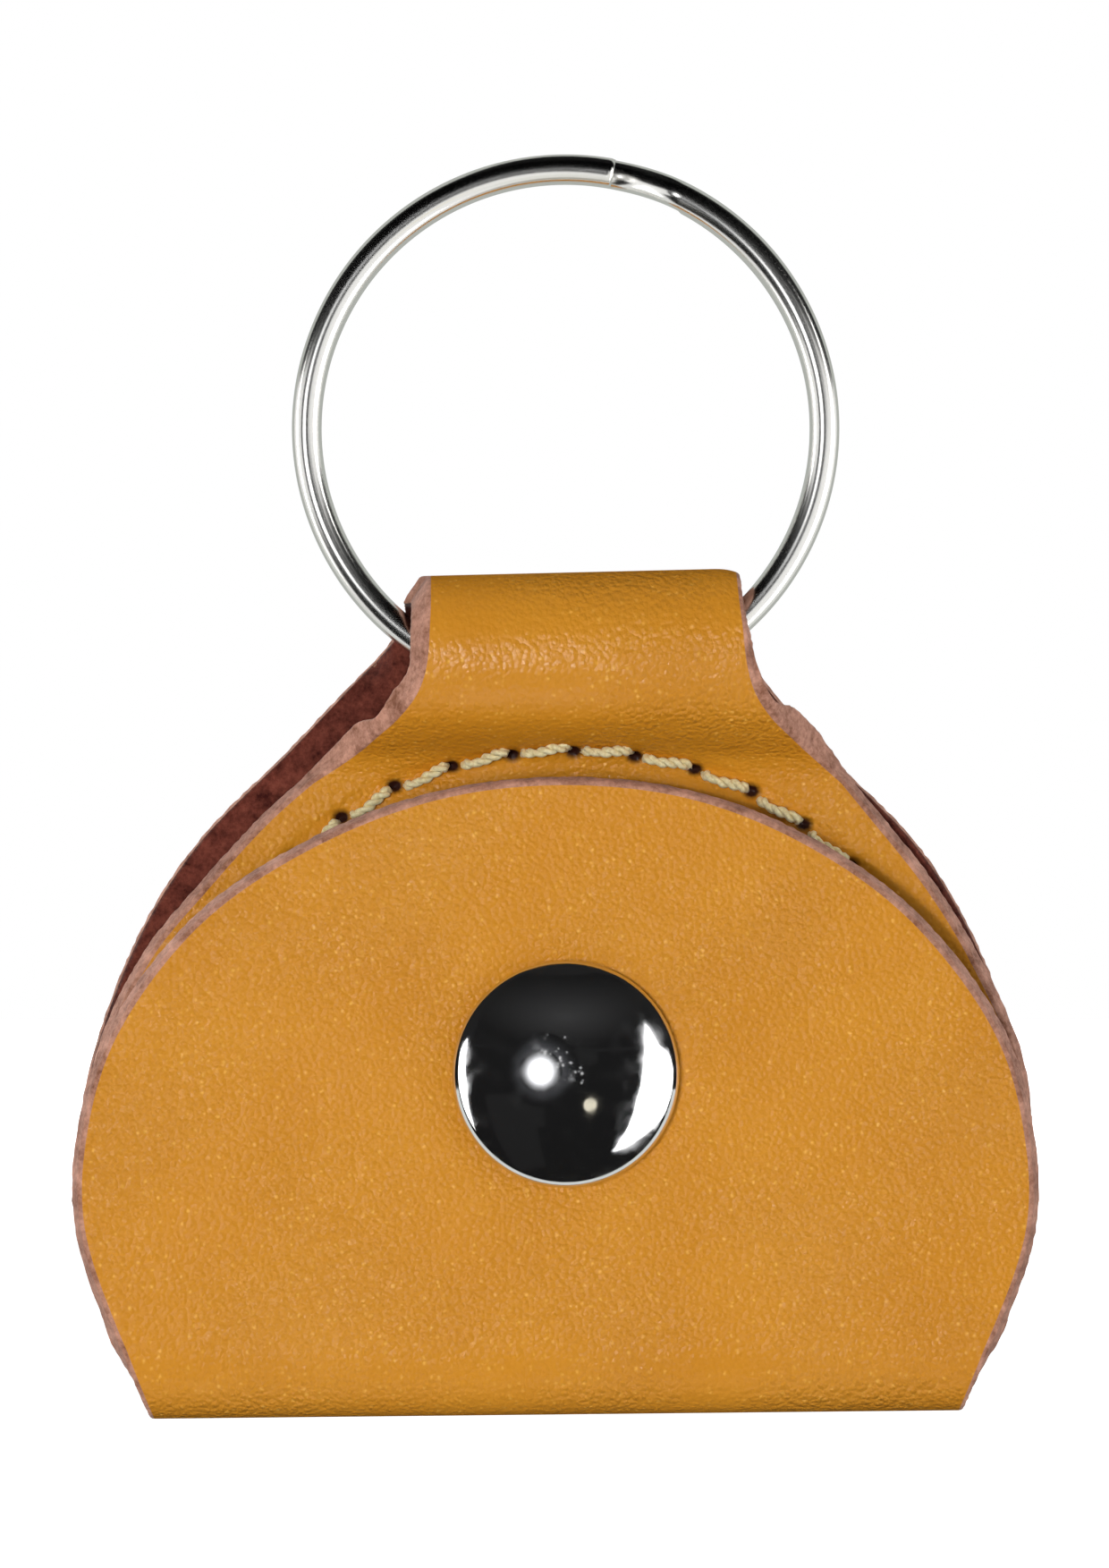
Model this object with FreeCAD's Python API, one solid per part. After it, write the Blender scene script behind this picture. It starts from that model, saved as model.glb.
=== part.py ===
import FreeCAD, Part

import math
import os

# Leather guitar pick holder on a split key ring, closed by a spring snap.
#
# One die-cut leather strip makes the whole holder.  From its free end it runs down as the front flap,
# turns up through the bottom fold, rises as the back panel, goes over the key ring as a loop, and comes
# down again between the two as the pocket panel.  An arc of stitches joins pocket panel to back panel.
#
# Frame: millimetres, +Z up, X across the holder, front facing -Y.  The shapes are drawn with the bottom
# of the fold at z = 0 and the rear face at y = 0, and are exported with the ring's centre at the origin.

# Leather strip
LEATHER_T = 1.5            # thickness of the leather
PICK_GAP = 0.6             # space between back panel and pocket panel
SNAP_GAP = 2.8             # space between pocket panel and flap, filled by the snap
POCKET_END_Z = 7.0         # bottom edge of the pocket panel, where picks go in
STRIP_REACH_X = 40.0       # wider than any panel
FOLD_SPLIT = 0.2           # gap in the fold where flap and strap meet

# Loop over the key ring
LOOP_CENTRE_Z = 41.8       # centre of the loop's upper half circle
LOOP_R = 3.65              # radius of the loop at mid thickness
LOOP_DROP = 0.2            # straight part below the half circle, at the front
LOOP_RETURN_DEG = 72.0     # how far the strip turns back in under the ring
LOOP_EASE_R = 1.5          # radius with which it straightens into the pocket panel

# Panel outlines from the fold upwards: half width, height, and how far the panel's middle lies to the
# right of the ring's centre.  The leather hangs a little askew: the loop and the pocket lean to the right.
BACK_EDGE = [(22.0, -0.5, -0.5), (24.9, 5.5, -0.5), (26.4, 11.8, -0.55), (26.1, 17.3, -0.55),
             (23.6, 25.1, -0.55), (20.15, 31.0, -0.5), (14.55, 36.9, -0.35), (11.2, 40.8, -0.1),
             (9.3, 43.6, 0.1), (9.0, 47.0, 0.35)]
POCKET_EDGE = [(24.5, 6.0, 0.0), (25.4, 13.0, 0.0), (25.0, 19.3, 0.0), (22.5, 25.1, 0.0),
               (19.9, 29.1, 0.15), (16.6, 33.0, 0.3), (12.2, 36.9, 0.45), (9.2, 40.5, 0.2),
               (9.0, 43.6, 0.3), (9.0, 47.0, 0.35)]
FLAP_EDGE = [(21.6, -0.5, -0.5), (24.3, 5.0, -0.5), (26.05, 10.5, -0.55), (25.95, 15.3, -0.55),
             (24.2, 20.9, -0.35), (19.5, 27.2, -0.25), (13.7, 31.4, -0.1), (7.0, 34.1, 0.0), (0.0, 34.9, 0.0)]

# Stitching
STITCH_CENTRE_X = 0.2
STITCH_CENTRE_Z = 15.05
STITCH_R = 21.6
STITCH_TILT_DEG = 0.8      # the arc's middle stitch lies this far clockwise of the top
STITCH_STEP_DEG = 9.0      # 3.4 mm between holes
STITCH_HALF_COUNT = 7      # holes on each side of the middle one
STITCH_HOLE_R = 0.36
THREAD_R = 0.30            # where it lies on the leather
THREAD_LEG_R = 0.26        # where it goes through the holes
THREAD_LIFT = 0.36         # centre of the thread above the pocket panel
GROOVE_W = 0.9             # groove for the stitches in the rear face
GROOVE_DEPTH = 0.8

# Split key ring
RING_OD = 30.0
WIRE_RADIAL = 1.6
WIRE_AXIAL = 1.3
TURN_GAP = 0.04            # between the two turns
RING_CENTRE_Z = 54.1
FRONT_END_DEG = 10.6       # clockwise from the top, as the front shows it
JOGGLE_DEG = 22.0          # where the wire leaves the front turn
REAR_END_DEG = 23.5

# Spring snap
SNAP_Z = 18.8
CAP_R = 6.2
CAP_H = 2.8
CAP_SHEET = 0.35
CAP_RIM_H = 0.9            # the dome springs from here
CAP_RIM_IN = 0.3           # and from this far inside the cap's radius
CAP_LIP_R = 5.1            # inner edge of the rim where it is rolled in
CAP_LIP_T = 0.3
SOCKET_R = 4.6
SOCKET_WALL = 0.35
STUD_FLANGE_R = 3.6
STUD_NECK_R = 1.45
STUD_HEAD_R = 1.85
BARREL_R = 1.7             # cap post through flap and socket
BARREL_BORE_R = 1.25
EYELET_R = 1.0             # stud post through the pocket panel
EYELET_FLANGE_R = 4.0
FIT = 0.05                 # between metal parts that are pressed together

# Levels inside the snap, measured rearwards from the flap's rear face
POST_SET_LEVEL = 0.42      # where the cap post's barrel is rolled outwards
STUD_TIP_LEVEL = 0.7
STUD_POST_LEVEL = 1.05     # end of the stud post's barrel
STUD_HEAD_LEVEL = 1.12     # underside of the stud's head
SPRING_LEVEL = 1.28
RETAINER_LEVEL = 1.52
RETAINER_T = 0.25
COLLAR_LEVEL = 2.05        # end of the retainer's collar
SOCKET_MOUTH_LEVEL = 2.1

# Layers, from the rear face forwards
BACK_FRONT_Y = -LEATHER_T
POCKET_REAR_Y = BACK_FRONT_Y - PICK_GAP
POCKET_FRONT_Y = POCKET_REAR_Y - LEATHER_T
FLAP_REAR_Y = POCKET_FRONT_Y - SNAP_GAP
FLAP_FRONT_Y = FLAP_REAR_Y - LEATHER_T
FOLD_R = -FLAP_FRONT_Y / 2
RING_Y = -LEATHER_T / 2 - LOOP_R


def vec(x, y, z):
    return FreeCAD.Vector(x, y, z)


class Strip:
    """The leather seen from its edge, followed as a path in the YZ plane."""

    def __init__(self, y, z, heading_deg):
        self.y, self.z, self.heading = y, z, math.radians(heading_deg)
        self.sides = {1: [], -1: []}
        self.start = {side: self.side_point(side) for side in self.sides}

    def side_point(self, side):
        across = self.heading + math.pi / 2
        half = side * LEATHER_T / 2
        return vec(0, self.y + half * math.cos(across), self.z + half * math.sin(across))

    def line(self, length):
        before = {side: self.side_point(side) for side in self.sides}
        self.y += length * math.cos(self.heading)
        self.z += length * math.sin(self.heading)
        for side, edges in self.sides.items():
            edges.append(Part.makeLine(before[side], self.side_point(side)))

    def turn(self, radius, angle_deg):
        """A turn to the left for a positive angle, and to the right for a negative one."""
        angle = math.radians(angle_deg)
        hand = math.copysign(1, angle)
        centre_y = self.y - hand * radius * math.sin(self.heading)
        centre_z = self.z + hand * radius * math.cos(self.heading)
        first_heading = self.heading
        points = {side: [] for side in self.sides}
        for share in (0.0, 0.5, 1.0):
            self.heading = first_heading + share * angle
            self.y = centre_y + hand * radius * math.sin(self.heading)
            self.z = centre_z - hand * radius * math.cos(self.heading)
            for side in self.sides:
                points[side].append(self.side_point(side))
        for side, edges in self.sides.items():
            edges.append(Part.Arc(*points[side]).toShape())

    def solid(self):
        ends = [
            Part.makeLine(self.start[-1], self.start[1]),
            Part.makeLine(self.side_point(1), self.side_point(-1)),
        ]
        edges = self.sides[1] + self.sides[-1] + ends
        wire = Part.Wire(Part.__sortEdges__(edges))
        face = Part.Face(wire)
        face.translate(vec(-STRIP_REACH_X, 0, 0))
        return face.extrude(vec(2 * STRIP_REACH_X, 0, 0))


def outline(half_edge):
    """A panel's outline as a block through every layer."""
    right = [vec(middle + x, 0, z) for x, z, middle in half_edge]
    left = [vec(middle - x, 0, z) for x, z, middle in reversed(half_edge) if x > 0]
    curves = []
    if half_edge[-1][0] > 0:
        for side in (right, left):
            curve = Part.BSplineCurve()
            curve.interpolate(side)
            curves.append(curve.toShape())
        curves.append(Part.makeLine(right[-1], left[0]))
    else:
        curve = Part.BSplineCurve()
        curve.interpolate(right + left)
        curves.append(curve.toShape())
    curves.append(Part.makeLine(left[-1], right[0]))
    face = Part.Face(Part.Wire(Part.__sortEdges__(curves)))
    face.translate(vec(0, FLAP_FRONT_Y - LEATHER_T, 0))
    return face.extrude(vec(0, -FLAP_FRONT_Y + 2 * LEATHER_T, 0))


def turned(*pieces):
    """A round part on the snap's axis.  Each piece is a line (r, y) or an arc ((r, y), (r, y))."""
    edges = []
    first = last = vec(pieces[0][0], pieces[0][1], 0)
    for piece in pieces[1:]:
        if isinstance(piece[0], tuple):
            middle, end = (vec(r, y, 0) for r, y in piece)
            edges.append(Part.Arc(last, middle, end).toShape())
        else:
            end = vec(piece[0], piece[1], 0)
            edges.append(Part.makeLine(last, end))
        last = end
    edges.append(Part.makeLine(last, first))
    face = Part.Face(Part.Wire(edges))
    solid = face.revolve(vec(0, 0, 0), vec(0, 1, 0), 360)
    solid.translate(vec(0, 0, SNAP_Z))
    return solid


def drilled(x, z, radius, front_y, rear_y):
    """A round hole along Y."""
    return Part.makeCylinder(radius, rear_y - front_y, vec(x, front_y, z), vec(0, 1, 0))


def stitch_points():
    count = STITCH_HALF_COUNT
    angles = [math.radians(STITCH_STEP_DEG * i + STITCH_TILT_DEG) for i in range(-count, count + 1)]
    return [(STITCH_CENTRE_X + STITCH_R * math.sin(a), STITCH_CENTRE_Z + STITCH_R * math.cos(a))
            for a in angles]


def loop_strip():
    """The front half of the loop and the pocket panel, from the top of the loop down."""
    strip = Strip(RING_Y, LOOP_CENTRE_Z + LOOP_R, 180)
    strip.turn(LOOP_R, 90)
    strip.line(LOOP_DROP)
    strip.turn(LOOP_R, LOOP_RETURN_DEG)
    back = math.radians(LOOP_RETURN_DEG)
    pocket_y = (POCKET_REAR_Y + POCKET_FRONT_Y) / 2
    ease = LOOP_EASE_R * (1 - math.cos(back))
    strip.line((pocket_y - strip.y - ease) / math.sin(back))
    strip.turn(LOOP_EASE_R, -LOOP_RETURN_DEG)
    strip.line(strip.z - POCKET_END_Z)
    return strip.solid()


def thread_y(leather, z):
    """Where the thread at height z lies in front of the leather, clear of the swell above it."""
    probe_z = z + THREAD_R
    probe = Part.makeLine(vec(0, 2 * FLAP_FRONT_Y, probe_z), vec(0, 0, probe_z))
    return probe.common(leather).BoundBox.YMin - THREAD_LIFT


def leather_strap(front):
    back = Strip(-FOLD_R, LEATHER_T / 2, 0)
    back.turn(FOLD_R - LEATHER_T / 2, 90)
    back.line(LOOP_CENTRE_Z - back.z)
    back.turn(LOOP_R, 90)
    shape = back.solid().common(outline(BACK_EDGE))
    shape = shape.fuse(front.common(outline(POCKET_EDGE))).removeSplitter()
    return shape.cut(Part.makeCompound([split_gap(), stitch_groove(), *stitch_holes(), eyelet_hole()]))


def leather_flap():
    flap = Strip(-FOLD_R, LEATHER_T / 2, 180)
    flap.turn(FOLD_R - LEATHER_T / 2, -90)
    flap.line(FLAP_EDGE[-1][1] + LEATHER_T - flap.z)
    shape = flap.solid().common(outline(FLAP_EDGE))
    post_hole = drilled(0, SNAP_Z, BARREL_R + FIT, FLAP_FRONT_Y - LEATHER_T, FLAP_REAR_Y + PICK_GAP)
    return shape.cut(Part.makeCompound([split_gap(), post_hole]))


def split_gap():
    return Part.makeBox(2 * STRIP_REACH_X, FOLD_SPLIT, 2 * LEATHER_T,
                        vec(-STRIP_REACH_X, -FOLD_R - FOLD_SPLIT / 2, -LEATHER_T / 2))


def stitch_holes():
    return [drilled(x, z, STITCH_HOLE_R, FLAP_REAR_Y, 0) for x, z in stitch_points()]


def stitch_groove():
    overrun = 0.4
    half_angle = STITCH_STEP_DEG * (STITCH_HALF_COUNT + overrun)
    profile = Part.makePlane(GROOVE_W, 2 * GROOVE_DEPTH, vec(STITCH_R - GROOVE_W / 2, -GROOVE_DEPTH, 0))
    centre = vec(STITCH_CENTRE_X, 0, STITCH_CENTRE_Z)
    profile.translate(centre)
    profile.rotate(centre, vec(0, 1, 0), half_angle + STITCH_TILT_DEG - 90)
    return profile.revolve(centre, vec(0, 1, 0), -2 * half_angle)


def eyelet_hole():
    clear = PICK_GAP / 2
    return drilled(0, SNAP_Z, EYELET_R + FIT, POCKET_FRONT_Y - clear, POCKET_REAR_Y + clear)


def thread(surface_y, inner_y):
    """One thread of the lockstitch: a leg in each hole, and a length of thread from hole to hole."""
    pieces = []
    previous = None
    for x, z in stitch_points():
        top = vec(x, surface_y(z), z)
        leg = vec(x, inner_y, z) - top
        pieces.append(Part.makeCylinder(THREAD_LEG_R, leg.Length, top, leg))
        pieces.append(Part.makeSphere(THREAD_R, top))
        if previous:
            along = top - previous
            pieces.append(Part.makeCylinder(THREAD_R, along.Length, previous, along))
        previous = top
    return pieces[0].multiFuse(pieces[1:])


def ring_point(angle_deg, y):
    """A point on the wire's centre line, clockwise from the top as the front shows it."""
    radius = (RING_OD - WIRE_RADIAL) / 2
    angle = math.radians(angle_deg)
    return vec(radius * math.sin(angle), RING_Y + y, RING_CENTRE_Z + radius * math.cos(angle))


def ring_arc(start_deg, end_deg, y):
    middle = (start_deg + end_deg) / 2
    return Part.Arc(*(ring_point(a, y) for a in (start_deg, middle, end_deg))).toShape()


def split_ring():
    """Two turns of wire side by side, joined by a joggle where the front turn's end lies."""
    half = (WIRE_AXIAL + TURN_GAP) / 2
    front_last = JOGGLE_DEG - 360
    rear_first = FRONT_END_DEG - 360
    joggle = Part.BSplineCurve()
    shares = (0.0, 0.25, 0.5, 0.75, 1.0)
    ways = [ring_point(front_last + share * (rear_first - front_last), -half * math.cos(math.pi * share))
            for share in shares]
    directions = []
    for angle_deg in (front_last, rear_first):
        angle = math.radians(angle_deg)
        directions.append(vec(-math.cos(angle), 0, math.sin(angle)))
    joggle.interpolate(ways, InitialTangent=directions[0], FinalTangent=directions[1])
    path = Part.Wire([
        ring_arc(FRONT_END_DEG, front_last, -half),
        joggle.toShape(),
        ring_arc(rear_first, REAR_END_DEG - 720, half),
    ])
    angle = math.radians(FRONT_END_DEG)
    outward = vec(math.sin(angle), 0, math.cos(angle))
    along = vec(-math.cos(angle), 0, math.sin(angle))
    section = Part.Ellipse(vec(0, 0, 0), WIRE_RADIAL / 2, WIRE_AXIAL / 2).toShape()
    place = FreeCAD.Matrix(outward.x, 0, along.x, 0,
                           outward.y, 1, along.y, 0,
                           outward.z, 0, along.z, 0)
    section = section.transformShape(place)
    section.translate(ring_point(FRONT_END_DEG, -half))
    sweep = Part.BRepOffsetAPI.MakePipeShell(path)
    sweep.setBiNormalMode(vec(0, 1, 0))
    sweep.add(Part.Wire([section]))
    sweep.build()
    sweep.makeSolid()
    return sweep.shape()


def cap_shell():
    """The domed cap, with its rim rolled in under the cap post's disc."""
    seat = FLAP_FRONT_Y - FIT
    rim_r = CAP_R - CAP_RIM_IN
    rise = CAP_H - CAP_RIM_H
    dome_r = (rim_r ** 2 + rise ** 2) / (2 * rise)
    dome_y = seat - CAP_H + dome_r
    inner_rim_r = rim_r - CAP_SHEET
    roll_out = (CAP_R, seat - CAP_RIM_H / 2)
    roll_end = (CAP_R - CAP_RIM_IN, seat)

    def dome(r, sheet):
        return (r, dome_y - math.sqrt((dome_r - sheet) ** 2 - r ** 2))

    return turned(
        (0, seat - CAP_H),
        (dome(rim_r / 2, 0), (rim_r, seat - CAP_RIM_H)),
        (roll_out, roll_end),
        (CAP_LIP_R, seat),
        (CAP_LIP_R, seat - CAP_LIP_T),
        (inner_rim_r, seat - CAP_LIP_T),
        dome(inner_rim_r, CAP_SHEET),
        (dome(inner_rim_r / 2, CAP_SHEET), dome(0, CAP_SHEET)),
    )


def cap_post():
    """The disc inside the cap, and its barrel, set over the socket's back plate."""
    disc_r = 5.45
    disc_t = 0.25
    disc_rear = FLAP_FRONT_Y - 2 * FIT - CAP_LIP_T
    disc_front = disc_rear - disc_t
    set_y = FLAP_REAR_Y + POST_SET_LEVEL
    set_r = 2.4
    set_t = 0.2
    return turned(
        (0, disc_front),
        (disc_r, disc_front),
        (disc_r, disc_rear),
        (BARREL_R, disc_rear),
        (BARREL_R, set_y),
        (set_r, set_y),
        (set_r, set_y + set_t),
        (BARREL_BORE_R, set_y + set_t),
        (BARREL_BORE_R, disc_rear),
        (0, disc_rear),
    )


def socket_body():
    """The cup that faces the stud.  Its wall is rolled over the retainer."""
    seat = FLAP_REAR_Y + FIT
    plate_t = 0.32
    mouth_y = FLAP_REAR_Y + SOCKET_MOUTH_LEVEL
    lip_t = 0.28
    lip_r = 3.7
    inner_r = SOCKET_R - SOCKET_WALL
    corner = SOCKET_WALL * (1 - math.sqrt(0.5))
    return turned(
        (BARREL_R + FIT, seat),
        (SOCKET_R, seat),
        (SOCKET_R, mouth_y - SOCKET_WALL),
        ((SOCKET_R - corner, mouth_y - corner), (inner_r, mouth_y)),
        (lip_r, mouth_y),
        (lip_r, mouth_y - lip_t),
        (inner_r, mouth_y - lip_t),
        (inner_r, seat + plate_t),
        (BARREL_R + FIT, seat + plate_t),
    )


def socket_retainer():
    """The ring that holds the spring in, with a raised collar round the stud's way in."""
    near_y = FLAP_REAR_Y + RETAINER_LEVEL
    far_y = near_y + RETAINER_T
    collar_y = FLAP_REAR_Y + COLLAR_LEVEL
    outer_r = SOCKET_R - SOCKET_WALL - FIT
    entry_r = STUD_HEAD_R + 0.3
    collar_r = entry_r + 0.35
    return turned(
        (entry_r, near_y),
        (outer_r, near_y),
        (outer_r, far_y),
        (collar_r, far_y),
        (collar_r, collar_y),
        (entry_r, collar_y),
    )


def socket_spring():
    """An open ring of spring wire that closes round the stud's neck."""
    wire_r = 0.18
    centre_r = STUD_NECK_R + wire_r + 0.08
    y = FLAP_REAR_Y + SPRING_LEVEL
    gap_deg = 50
    start = math.radians(gap_deg / 2)
    point = vec(centre_r * math.sin(start), y, centre_r * math.cos(start))
    along = vec(math.cos(start), 0, -math.sin(start))
    face = Part.Face(Part.Wire([Part.makeCircle(wire_r, point, along)]))
    solid = face.revolve(vec(0, y, 0), vec(0, 1, 0), 360 - gap_deg)
    solid.translate(vec(0, 0, SNAP_Z))
    return solid


def stud():
    """The snap's male half, drawn hollow over the stud post."""
    seat = POCKET_FRONT_Y - FIT
    flange_y = seat - 0.35
    head_y = FLAP_REAR_Y + STUD_HEAD_LEVEL
    tip_y = FLAP_REAR_Y + STUD_TIP_LEVEL
    bore_r = EYELET_R + FIT
    tip_r = 1.2
    wall = 0.3
    chamfer = 0.15
    return turned(
        (bore_r, seat),
        (STUD_FLANGE_R, seat),
        (STUD_FLANGE_R, flange_y),
        (STUD_NECK_R, flange_y),
        (STUD_NECK_R, head_y),
        (STUD_HEAD_R, head_y - chamfer),
        ((STUD_HEAD_R - chamfer, tip_y + chamfer / 2), (tip_r, tip_y)),
        (0, tip_y),
        (0, tip_y + wall),
        (bore_r, tip_y + wall),
    )


def stud_post():
    """The eyelet whose flange lies inside the pocket and whose barrel holds the stud."""
    seat = POCKET_REAR_Y + FIT
    flange_t = 0.3
    end_y = FLAP_REAR_Y + STUD_POST_LEVEL
    bore_r = 0.65
    return turned(
        (bore_r, seat + flange_t),
        (EYELET_FLANGE_R, seat + flange_t),
        (EYELET_FLANGE_R, seat),
        (EYELET_R, seat),
        (EYELET_R, end_y),
        (bore_r, end_y),
    )


def nodes():
    front = loop_strip()
    thread_meet_y = (BACK_FRONT_Y + POCKET_REAR_Y) / 2
    thread_part = 0.02
    return {
        "leather_strap": leather_strap(front),
        "leather_flap": leather_flap(),
        "needle_thread": thread(lambda z: thread_y(front, z), thread_meet_y - thread_part),
        "bobbin_thread": thread(lambda z: -GROOVE_DEPTH / 2, thread_meet_y + thread_part),
        "split_ring": split_ring(),
        "cap_shell": cap_shell(),
        "cap_post": cap_post(),
        "socket_body": socket_body(),
        "socket_retainer": socket_retainer(),
        "socket_spring": socket_spring(),
        "stud": stud(),
        "stud_post": stud_post(),
    }


os.makedirs("parts", exist_ok=True)
for name, shape in nodes().items():
    shape.translate(vec(0, -RING_Y, -RING_CENTRE_Z))
    shape.exportStep(f"parts/{name}.step")
    box = shape.BoundBox
    print(name, shape.isValid(), len(shape.Solids), round(shape.Volume, 2),
          [round(v, 2) for v in (box.XMin, box.XMax, box.YMin, box.YMax, box.ZMin, box.ZMax)])
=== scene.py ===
import math
import random

import bpy
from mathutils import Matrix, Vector


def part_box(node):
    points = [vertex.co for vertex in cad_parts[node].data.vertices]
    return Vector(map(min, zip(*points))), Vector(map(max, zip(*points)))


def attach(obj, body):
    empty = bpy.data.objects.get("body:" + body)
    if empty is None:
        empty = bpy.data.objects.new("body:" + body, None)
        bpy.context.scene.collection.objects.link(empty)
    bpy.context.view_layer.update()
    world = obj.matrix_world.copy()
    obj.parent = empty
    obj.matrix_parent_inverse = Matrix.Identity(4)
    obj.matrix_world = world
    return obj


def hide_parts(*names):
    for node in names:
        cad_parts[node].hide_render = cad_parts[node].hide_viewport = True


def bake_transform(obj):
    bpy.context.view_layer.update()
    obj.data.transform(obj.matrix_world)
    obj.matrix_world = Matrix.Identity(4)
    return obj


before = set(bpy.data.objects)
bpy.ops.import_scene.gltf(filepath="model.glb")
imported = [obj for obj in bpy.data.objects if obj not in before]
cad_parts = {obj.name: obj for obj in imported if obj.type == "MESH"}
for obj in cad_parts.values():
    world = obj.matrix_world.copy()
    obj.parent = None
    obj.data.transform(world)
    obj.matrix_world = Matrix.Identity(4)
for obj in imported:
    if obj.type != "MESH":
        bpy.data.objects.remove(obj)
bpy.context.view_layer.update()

MM = 0.001
random.seed(7)

# ---------------------------------------------------------------- sizes, in millimetres
STRAP_LOW, STRAP_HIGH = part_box("leather_strap")
FLAP_LOW, FLAP_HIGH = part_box("leather_flap")
CAP_LOW, CAP_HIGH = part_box("cap_shell")
RING_LOW, RING_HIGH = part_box("split_ring")
POST_LOW, POST_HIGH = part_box("stud_post")

THICK = 1.5
WIRE_RADIAL = 1.6                     # thickness of the ring's wire, in the ring's plane
BASE_Z = STRAP_LOW.z / MM             # lowest point of the bottom fold
REAR_Y = STRAP_HIGH.y / MM            # rear face of the back panel
FRONT_Y = FLAP_LOW.y / MM             # front face of the flap
FOLD_R = (REAR_Y - FRONT_Y) / 2
POST_FLANGE = 0.3                     # the stud post's flange, behind the pocket panel,
POST_GAP = 0.05                       # and the gap between them
POCKET_Y = POST_HIGH.y / MM - POST_FLANGE - POST_GAP - THICK / 2   # middle of the pocket panel
POCKET_END = 7.0                      # heights above the bottom of the fold: the panel's lower end,
LOOP_Z = 41.8                         # the loop's middle
FLAP_TOP = FLAP_HIGH.z / MM - BASE_Z  # and the flap's tip
LOOP_R = 3.65                         # radius of the loop at mid thickness
LOOP_DROP = 0.2                       # straight stretch at the loop's front
LOOP_RETURN = math.radians(57)        # how far the loop turns back towards the pocket panel,
LOOP_EASE_R = 2.9                     # and the radius on which it straightens out again

# panel outlines from the fold upwards: half width, height, and the x of the panel's middle
BACK_EDGE = [(22.0, -0.5, -0.5), (24.9, 5.5, -0.5), (26.4, 11.8, -0.55), (26.1, 17.3, -0.55),
             (23.6, 25.1, -0.55), (20.15, 31.0, -0.5), (14.4, 36.9, -0.5), (10.95, 40.8, -0.35),
             (9.1, 43.6, 0.1), (8.7, 47.0, 0.65)]
POCKET_EDGE = [(24.5, 6.0, 0.0), (25.65, 13.0, -0.25), (25.35, 19.3, -0.35), (22.8, 25.1, -0.3),
               (19.95, 29.1, 0.1), (16.6, 33.0, 0.35), (12.7, 36.9, 0.95), (9.45, 40.2, 1.0),
               (8.85, 43.4, 0.85), (8.7, 47.0, 0.65)]
FLAP_EDGE = [(21.6, -0.5, -0.5), (24.3, 5.0, -0.5), (26.05, 10.5, -0.55), (25.95, 15.3, -0.55),
             (24.35, 20.9, -0.5), (19.7, 27.2, -0.45), (13.8, 31.4, -0.2), (7.0, 34.1, 0.0), (0.0, 34.9, 0.0)]

STITCH_X = 0.2                        # middle of the arc of stitches
STITCH_Z = 15.05
STITCH_R = 21.6
STITCH_TILT = math.radians(0.8)
STITCH_STEP = math.radians(9)         # from one hole to the next
STITCH_HALF_COUNT = 7                 # holes on each side of the middle one
SNAP_Z = ((CAP_LOW.z + CAP_HIGH.z) / 2) / MM - BASE_Z
CAP_R = (CAP_HIGH.x - CAP_LOW.x) / 2 / MM
CAP_H = (CAP_HIGH.y - CAP_LOW.y) / MM


# ---------------------------------------------------------------- the leather strip's path
class Path:
    """The strip seen edge on, from the flap's tip to the pocket's end, at mid thickness."""

    def __init__(self, y, z, heading):
        self.y, self.z, self.heading = y, z, heading
        self.length = 0.0
        self.parts = []

    def line(self, length):
        self.parts.append((self.length, length, self.y, self.z, self.heading, 0.0))
        self.y += length * math.cos(self.heading)
        self.z += length * math.sin(self.heading)
        self.length += length

    def turn(self, radius, angle):
        """Left for a positive angle, right for a negative one."""
        curve = math.copysign(1 / radius, angle)
        self.parts.append((self.length, radius * abs(angle), self.y, self.z, self.heading, curve))
        self.y, self.z, self.heading = self.along(self.parts[-1], radius * abs(angle))
        self.length += radius * abs(angle)

    @staticmethod
    def along(part, run):
        _, _, y, z, heading, curve = part
        if curve == 0:
            return y + run * math.cos(heading), z + run * math.sin(heading), heading
        end = heading + run * curve
        return (y + (math.sin(end) - math.sin(heading)) / curve,
                z - (math.cos(end) - math.cos(heading)) / curve, end)

    def at(self, s):
        """(y, z, heading) at distance s along the path."""
        part = self.parts[0]
        for candidate in self.parts:
            if candidate[0] <= s:
                part = candidate
        return self.along(part, s - part[0])


def strip_path():
    """The path, and the distances along it at which its stretches begin."""
    path = Path(FRONT_Y + THICK / 2, FLAP_TOP, -math.pi / 2)
    path.line(FLAP_TOP - FOLD_R)
    marks = {"fold": path.length}
    path.turn(FOLD_R - THICK / 2, math.pi)
    marks["back"] = path.length
    path.line(LOOP_Z - FOLD_R)
    marks["loop"] = path.length
    path.turn(LOOP_R, math.pi / 2)
    marks["loop_top"] = path.length
    path.turn(LOOP_R, math.pi / 2)
    path.line(LOOP_DROP)
    path.turn(LOOP_R, LOOP_RETURN)
    straightening = LOOP_EASE_R * (1 - math.cos(LOOP_RETURN))
    path.line((POCKET_Y - path.y - straightening) / math.sin(LOOP_RETURN))
    path.turn(LOOP_EASE_R, -LOOP_RETURN)
    marks["pocket"] = path.length
    path.line(path.z - POCKET_END)
    return path, marks


PATH, MARKS = strip_path()


# ---------------------------------------------------------------- outlines
CURVE_STEPS = 24


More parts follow.
